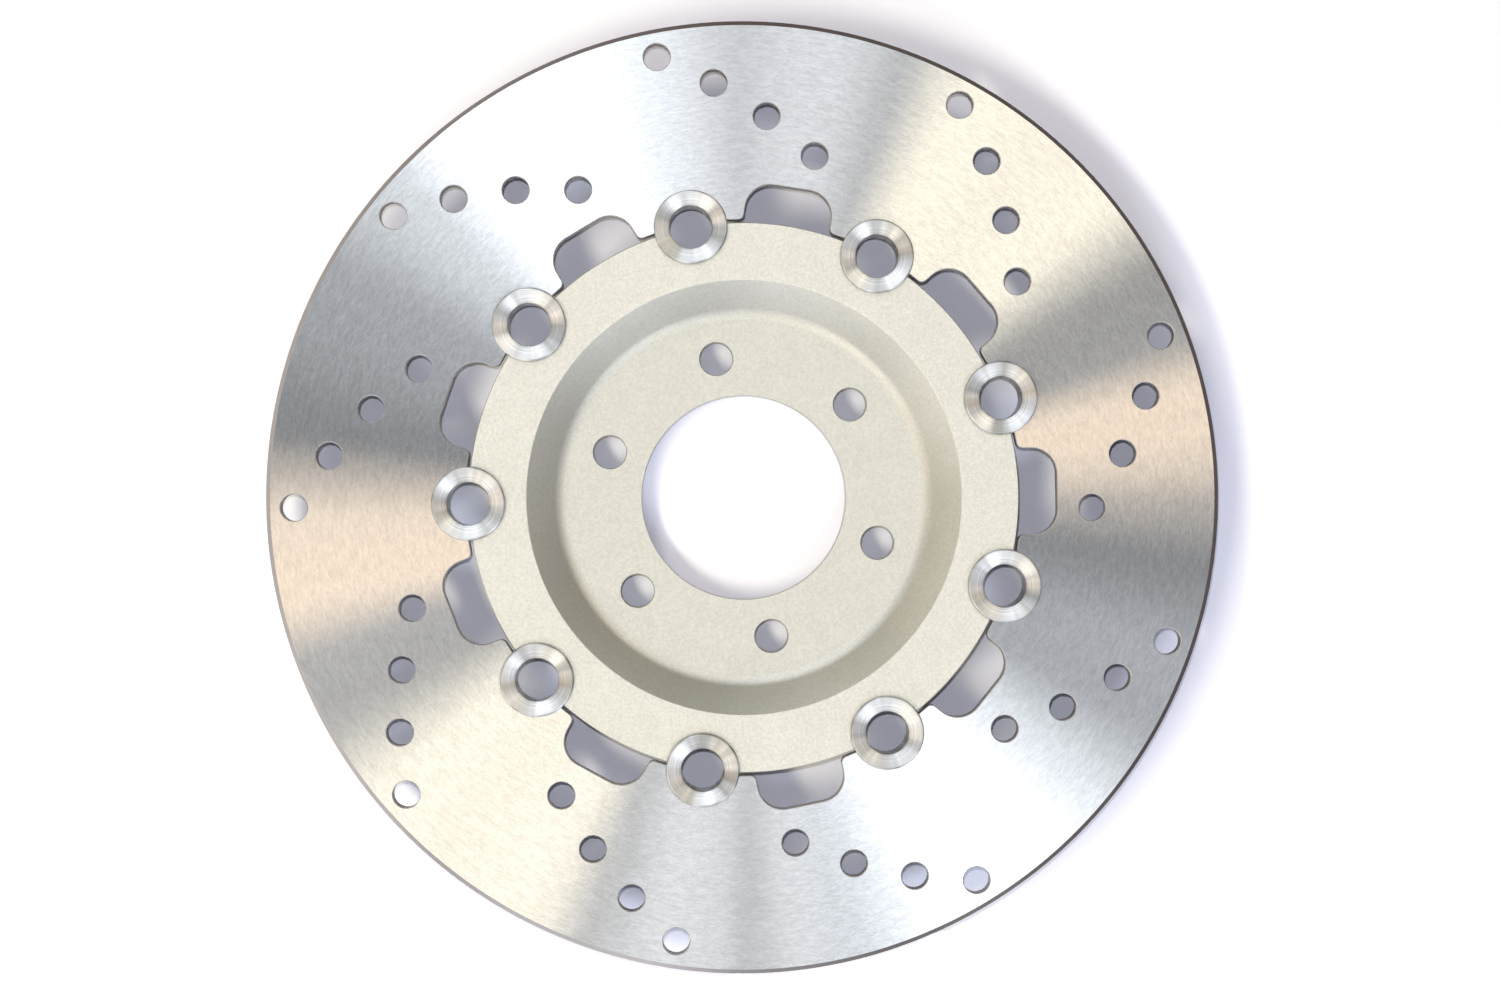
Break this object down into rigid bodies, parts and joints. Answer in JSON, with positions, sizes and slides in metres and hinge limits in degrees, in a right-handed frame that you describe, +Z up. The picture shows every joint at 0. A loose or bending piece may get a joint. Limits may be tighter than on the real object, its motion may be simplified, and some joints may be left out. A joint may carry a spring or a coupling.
{
  "type": "floating brake disc rotor",
  "caption": "Motorcycle floating brake disc: a drilled flat steel friction ring hung on a dished bolt-on alloy carrier by hollow bobbins, with wave washers and circlips at the back.",
  "frame": {"origin": "on the spin axis, in the middle plane of the friction ring, where the brake pads close on it; the centre of the whole volume lies on the same axis 2 mm behind it", "axes": "+Y along the spin axis, from the outer face through the dish towards the wheel hub; the outer face looks along -Y; +Z up through the first bobbin and the first bolt hole"},
  "size_m": [0.3, 0.0178, 0.3],
  "materials": {
    "ring_steel": "stainless steel, ground in circles about the spin axis to a fine bright grain",
    "carrier_alloy": "satin bead-blasted aluminium, warm pale grey",
    "bobbin_steel": "bright turned steel with fine lathe rings",
    "spring_steel": "smooth tempered spring strip",
    "washer_zinc": "zinc-plated steel, slightly cloudy",
    "circlip_phosphate": "black phosphated spring steel, matt"
  },
  "bodies": {
    "carrier": {"carrier": "carrier_alloy"},
    "friction_ring": {"friction_ring": "ring_steel"},
    "bobbin_1": {"bobbin_1": "bobbin_steel", "wave_washer_1": "spring_steel", "flat_washer_1": "washer_zinc", "circlip_1": "circlip_phosphate"},
    "bobbin_2": {"bobbin_2": "bobbin_steel", "wave_washer_2": "spring_steel", "flat_washer_2": "washer_zinc", "circlip_2": "circlip_phosphate"},
    "bobbin_3": {"bobbin_3": "bobbin_steel", "wave_washer_3": "spring_steel", "flat_washer_3": "washer_zinc", "circlip_3": "circlip_phosphate"},
    "bobbin_4": {"bobbin_4": "bobbin_steel", "wave_washer_4": "spring_steel", "flat_washer_4": "washer_zinc", "circlip_4": "circlip_phosphate"},
    "bobbin_5": {"bobbin_5": "bobbin_steel", "wave_washer_5": "spring_steel", "flat_washer_5": "washer_zinc", "circlip_5": "circlip_phosphate"},
    "bobbin_6": {"bobbin_6": "bobbin_steel", "wave_washer_6": "spring_steel", "flat_washer_6": "washer_zinc", "circlip_6": "circlip_phosphate"},
    "bobbin_7": {"bobbin_7": "bobbin_steel", "wave_washer_7": "spring_steel", "flat_washer_7": "washer_zinc", "circlip_7": "circlip_phosphate"},
    "bobbin_8": {"bobbin_8": "bobbin_steel", "wave_washer_8": "spring_steel", "flat_washer_8": "washer_zinc", "circlip_8": "circlip_phosphate"},
    "bobbin_9": {"bobbin_9": "bobbin_steel", "wave_washer_9": "spring_steel", "flat_washer_9": "washer_zinc", "circlip_9": "circlip_phosphate"}
  },
  "joints": [
    {"name": "ring_float", "type": "slide", "parent": "carrier", "child": "friction_ring", "axis": [0, 1, 0], "range_m": [-0.0003, 0.0003]},
    {"name": "bobbin_1_spin", "type": "hinge", "parent": "carrier", "child": "bobbin_1", "pos_m": [0, 0, 0.0866], "axis": [0, 1, 0], "continuous": true},
    {"name": "bobbin_2_spin", "type": "hinge", "parent": "carrier", "child": "bobbin_2", "pos_m": [-0.05567, 0, 0.06634], "axis": [0, 1, 0], "continuous": true},
    {"name": "bobbin_3_spin", "type": "hinge", "parent": "carrier", "child": "bobbin_3", "pos_m": [-0.08528, 0, 0.01504], "axis": [0, 1, 0], "continuous": true},
    {"name": "bobbin_4_spin", "type": "hinge", "parent": "carrier", "child": "bobbin_4", "pos_m": [-0.075, 0, -0.0433], "axis": [0, 1, 0], "continuous": true},
    {"name": "bobbin_5_spin", "type": "hinge", "parent": "carrier", "child": "bobbin_5", "pos_m": [-0.02962, 0, -0.08138], "axis": [0, 1, 0], "continuous": true},
    {"name": "bobbin_6_spin", "type": "hinge", "parent": "carrier", "child": "bobbin_6", "pos_m": [0.02962, 0, -0.08138], "axis": [0, 1, 0], "continuous": true},
    {"name": "bobbin_7_spin", "type": "hinge", "parent": "carrier", "child": "bobbin_7", "pos_m": [0.075, 0, -0.0433], "axis": [0, 1, 0], "continuous": true},
    {"name": "bobbin_8_spin", "type": "hinge", "parent": "carrier", "child": "bobbin_8", "pos_m": [0.08528, 0, 0.01504], "axis": [0, 1, 0], "continuous": true},
    {"name": "bobbin_9_spin", "type": "hinge", "parent": "carrier", "child": "bobbin_9", "pos_m": [0.05567, 0, 0.06634], "axis": [0, 1, 0], "continuous": true}
  ]
}
